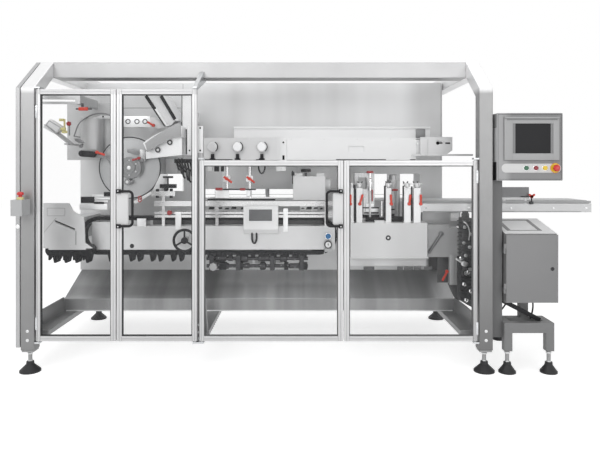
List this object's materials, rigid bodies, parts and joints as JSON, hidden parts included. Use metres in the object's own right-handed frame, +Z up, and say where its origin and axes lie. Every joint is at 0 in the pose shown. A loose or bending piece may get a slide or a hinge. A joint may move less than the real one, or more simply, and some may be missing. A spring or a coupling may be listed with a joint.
{
  "type": "automatic cartoner",
  "caption": "Automatic cartoner with hinged clear guard doors, rotary carton feeder, lug chain, closing station, discharge conveyor and a control stand.",
  "frame": {"origin": "on the floor, at the middle of the outline", "axes": "+X along the machine towards the discharge conveyor, +Y from the doors to the rear, +Z up"},
  "size_m": [3.7, 1.4718, 1.916],
  "materials": {
    "frame_steel": "satin",
    "door_profile": "satin anodised",
    "clear_pane": "clear polycarbonate",
    "black_plastic": "matte",
    "feet": "matte",
    "hinge_steel": "satin",
    "wall_steel": "fine brushed",
    "tray_steel": "polished sheet",
    "housing_paint": "satin",
    "bed_aluminium": "machined satin",
    "chain_black": "matte",
    "shaft_black": "burnished",
    "rail_steel": "bright",
    "disc_aluminium": "turned",
    "feeder_grey": "satin",
    "cover_white": "satin",
    "knob_grey": "satin",
    "lever_red": "gloss",
    "unit_grey": "satin",
    "panel_white": "satin",
    "gauge": "gloss",
    "button_blue": "gloss",
    "button_red": "gloss",
    "box_grey": "satin",
    "cabinet_grey": "satin",
    "column_grey": "satin",
    "stand_steel": "satin",
    "belt_grey": "matte",
    "screen_dark": "gloss"
  },
  "bodies": {
    "machine": {"adjuster_columns": "rail_steel", "adjuster_knobs": "knob_grey", "bed_cover": "bed_aluminium", "bucket_chain": "chain_black", "cabinet_stand": "stand_steel", "cable_duct": "unit_grey", "carton_magazine": "rail_steel", "clamp_levers": "lever_red", "clamp_stands": "rail_steel", "closing_station": "unit_grey", "closing_tools": "feeder_grey", "discharge_belt": "belt_grey", "discharge_conveyor": "rail_steel", "display_panel": "panel_white", "door_mullion": "frame_steel", "door_pivots": "hinge_steel", "drip_tray": "tray_steel", "drive_housing": "housing_paint", "drive_shafts": "shaft_black", "electrical_cabinet": "housing_paint", "emergency_buttons": "button_red", "estop_box": "box_grey", "feeder_housing": "feeder_grey", "fixed_guard_panes": "clear_pane", "gear_column": "unit_grey", "guide_rails": "rail_steel", "hmi_cabinet": "cabinet_grey", "hmi_screen": "screen_dark", "infeed_belt": "chain_black", "infeed_head": "feeder_grey", "leaflet_unit": "unit_grey", "left_end_guard": "door_profile", "left_side_frame": "frame_steel", "levelling_feet": "feet", "machine_wall": "wall_steel", "magazine_plate": "disc_aluminium", "pressure_gauge": "gauge", "push_buttons": "button_blue", "rail_end_bracket": "feeder_grey", "rear_guard": "door_profile", "right_side_frame": "frame_steel", "service_column": "column_grey", "sills": "frame_steel", "stand_cabinet": "cabinet_grey", "tool_rail_cover": "cover_white", "upper_beams": "frame_steel"},
    "guard_door_1": {"guard_door_1_frame": "door_profile", "guard_door_1_pane": "clear_pane"},
    "guard_door_2": {"guard_door_2_frame": "door_profile", "guard_door_2_handle": "black_plastic", "guard_door_2_pane": "clear_pane"},
    "guard_door_3": {"guard_door_3_frame": "door_profile", "guard_door_3_handle": "black_plastic", "guard_door_3_pane": "clear_pane"},
    "guard_door_4": {"guard_door_4_frame": "door_profile", "guard_door_4_pane": "clear_pane"},
    "handwheel": {"handwheel": "black_plastic"},
    "feeder_disc": {"feeder_disc": "disc_aluminium"},
    "stand_cabinet_door": {"stand_cabinet_door": "cabinet_grey"}
  },
  "joints": [
    {"name": "guard_door_1_hinge", "type": "hinge", "parent": "machine", "child": "guard_door_1", "pos_m": [-1.719, -0.611, 0.9], "axis": [0, 0, -1], "range_deg": [0, 95]},
    {"name": "guard_door_2_hinge", "type": "hinge", "parent": "machine", "child": "guard_door_2", "pos_m": [-0.776, -0.611, 0.9], "axis": [0, 0, 1], "range_deg": [0, 85]},
    {"name": "guard_door_3_hinge", "type": "hinge", "parent": "machine", "child": "guard_door_3", "pos_m": [-0.736, -0.611, 0.9], "axis": [0, 0, -1], "range_deg": [0, 85]},
    {"name": "guard_door_4_hinge", "type": "hinge", "parent": "machine", "child": "guard_door_4", "pos_m": [0.912, -0.611, 0.9], "axis": [0, 0, 1], "range_deg": [0, 90]},
    {"name": "handwheel_turn", "type": "hinge", "parent": "machine", "child": "handwheel", "pos_m": [-0.902, -0.282, 0.755], "axis": [0, 1, 0], "continuous": true},
    {"name": "feeder_disc_turn", "type": "hinge", "parent": "machine", "child": "feeder_disc", "pos_m": [-1.308, -0.106, 1.233], "axis": [0, 1, 0], "continuous": true},
    {"name": "stand_cabinet_door_hinge", "type": "hinge", "parent": "machine", "child": "stand_cabinet_door", "pos_m": [1.087, -0.619, 0.62], "axis": [0, 0, -1], "range_deg": [0, 100]}
  ]
}
